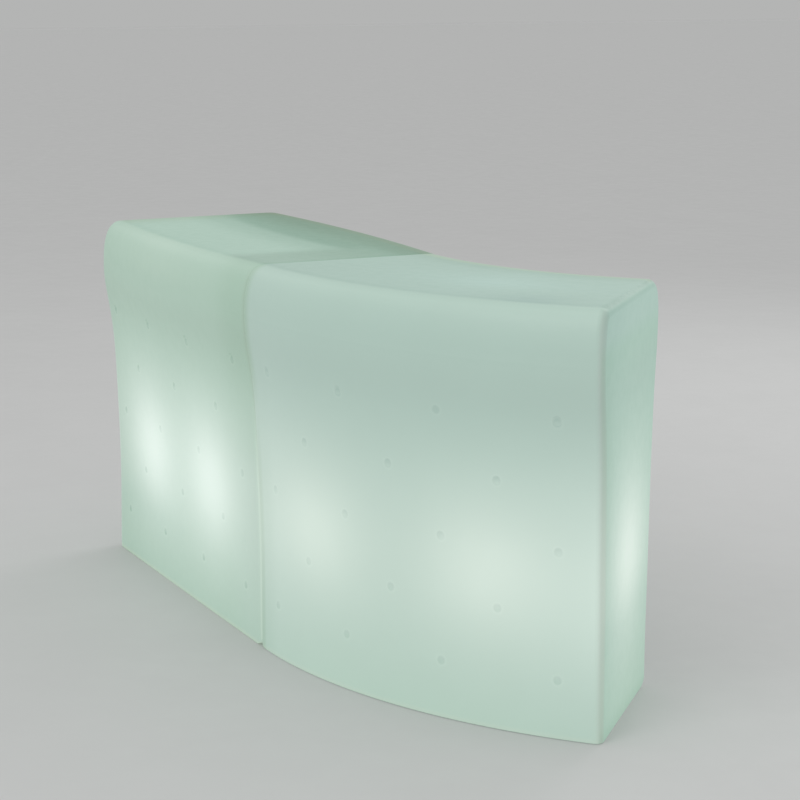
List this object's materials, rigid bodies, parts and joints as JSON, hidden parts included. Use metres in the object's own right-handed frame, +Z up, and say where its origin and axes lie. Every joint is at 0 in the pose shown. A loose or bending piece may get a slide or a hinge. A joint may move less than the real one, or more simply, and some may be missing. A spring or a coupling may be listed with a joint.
{
  "type": "bar counter with shelves",
  "caption": "Lit bar counter: a straight and a curved hollow plastic body joined end to end, with shelf recesses, lamp hatches and mains inlets at the back.",
  "frame": {"origin": "on the floor under the middle of the whole counter's outline box", "axes": "+X along the straight body towards the curved body, +Y from the customers' side to the staff side, +Z up"},
  "size_m": [2.3514, 0.9522, 1.1],
  "materials": {
    "milky_skin": "satin, lit from inside",
    "shelf_board": "white laminate",
    "rail_metal": "satin",
    "fastener": "zinc plated",
    "insert_brass": "machined",
    "hatch_plastic": "satin",
    "soft_seal": "matt",
    "hinge_steel": "brushed",
    "magnet": "nickel plated",
    "pull_metal": "polished",
    "bar_metal": "white powder coat",
    "holder_plastic": "smooth",
    "cap_metal": "plain",
    "lamp_opal": "opal, lit",
    "box_plastic": "fine grain",
    "lead_rubber": "smooth",
    "inlet_plastic": "fine grain",
    "rocker_plastic": "polished",
    "pad_rubber": "matt",
    "plate_steel": "zinc plated"
  },
  "bodies": {
    "counter": {"straight_shell": "milky_skin", "straight_shelf_rails": "rail_metal", "straight_wall_screws": "fastener", "straight_wall_inserts": "insert_brass", "straight_hinge_wall_leaf": "hinge_steel", "straight_hinge_pin": "hinge_steel", "straight_hatch_magnets": "magnet", "straight_lamp_bar": "bar_metal", "straight_lamp_bar_screws": "fastener", "straight_lampholders": "holder_plastic", "straight_lamp_caps": "cap_metal", "straight_lamp_tubes": "lamp_opal", "straight_junction_box": "box_plastic", "straight_box_lid": "box_plastic", "straight_leads": "lead_rubber", "straight_inlet": "inlet_plastic", "straight_inlet_pins": "insert_brass", "straight_floor_pads": "pad_rubber", "straight_pad_screws": "fastener", "curved_shell": "milky_skin", "curved_shelf_rails": "rail_metal", "curved_wall_screws": "fastener", "curved_wall_inserts": "insert_brass", "curved_hinge_wall_leaf": "hinge_steel", "curved_hinge_pin": "hinge_steel", "curved_hatch_magnets": "magnet", "curved_lamp_bar": "bar_metal", "curved_lamp_bar_screws": "fastener", "curved_lampholders": "holder_plastic", "curved_lamp_caps": "cap_metal", "curved_lamp_tubes": "lamp_opal", "curved_junction_box": "box_plastic", "curved_box_lid": "box_plastic", "curved_leads": "lead_rubber", "curved_inlet": "inlet_plastic", "curved_inlet_pins": "insert_brass", "curved_floor_pads": "pad_rubber", "curved_pad_screws": "fastener", "joining_plates": "plate_steel", "joining_screws": "fastener"},
    "straight_lower_board": {"straight_lower_shelf": "shelf_board"},
    "straight_upper_board": {"straight_upper_shelf": "shelf_board"},
    "straight_switch": {"straight_rocker": "rocker_plastic"},
    "straight_lamp_door": {"straight_hatch": "hatch_plastic", "straight_hatch_seal": "soft_seal", "straight_hinge_door_leaf": "hinge_steel", "straight_hatch_screws": "fastener", "straight_hatch_strikers": "fastener", "straight_hatch_pull": "pull_metal"},
    "curved_lower_board": {"curved_lower_shelf": "shelf_board"},
    "curved_upper_board": {"curved_upper_shelf": "shelf_board"},
    "curved_switch": {"curved_rocker": "rocker_plastic"},
    "curved_lamp_door": {"curved_hatch": "hatch_plastic", "curved_hatch_seal": "soft_seal", "curved_hinge_door_leaf": "hinge_steel", "curved_hatch_screws": "fastener", "curved_hatch_strikers": "fastener", "curved_hatch_pull": "pull_metal"}
  },
  "joints": [
    {"name": "straight_lower_shelf_slide", "type": "slide", "parent": "counter", "child": "straight_lower_board", "axis": [0, 1, 0], "range_m": [0, 0.3]},
    {"name": "straight_upper_shelf_slide", "type": "slide", "parent": "counter", "child": "straight_upper_board", "axis": [0, 1, 0], "range_m": [0, 0.3]},
    {"name": "straight_hatch_hinge", "type": "hinge", "parent": "counter", "child": "straight_lamp_door", "pos_m": [-0.54501, -0.07433, 0.178], "axis": [-1, 0, 0], "range_deg": [0, 95]},
    {"name": "straight_switch_rock", "type": "hinge", "parent": "counter", "child": "straight_switch", "pos_m": [-0.31001, -0.07913, 0.212], "axis": [-1, 0, 0], "range_deg": [0, 14]},
    {"name": "curved_lower_shelf_slide", "type": "slide", "parent": "counter", "child": "curved_lower_board", "axis": [-0.3827, 0.9239, 0], "range_m": [0, 0.3]},
    {"name": "curved_upper_shelf_slide", "type": "slide", "parent": "counter", "child": "curved_upper_board", "axis": [-0.3827, 0.9239, 0], "range_m": [0, 0.3]},
    {"name": "curved_hatch_hinge", "type": "hinge", "parent": "counter", "child": "curved_lamp_door", "pos_m": [0.52423, 0.01901, 0.178], "axis": [-0.9239, -0.3827, 0], "range_deg": [0, 95]},
    {"name": "curved_switch_rock", "type": "hinge", "parent": "counter", "child": "curved_switch", "pos_m": [0.30896, -0.07536, 0.212], "axis": [-0.9239, -0.3827, 0], "range_deg": [0, 14]}
  ]
}
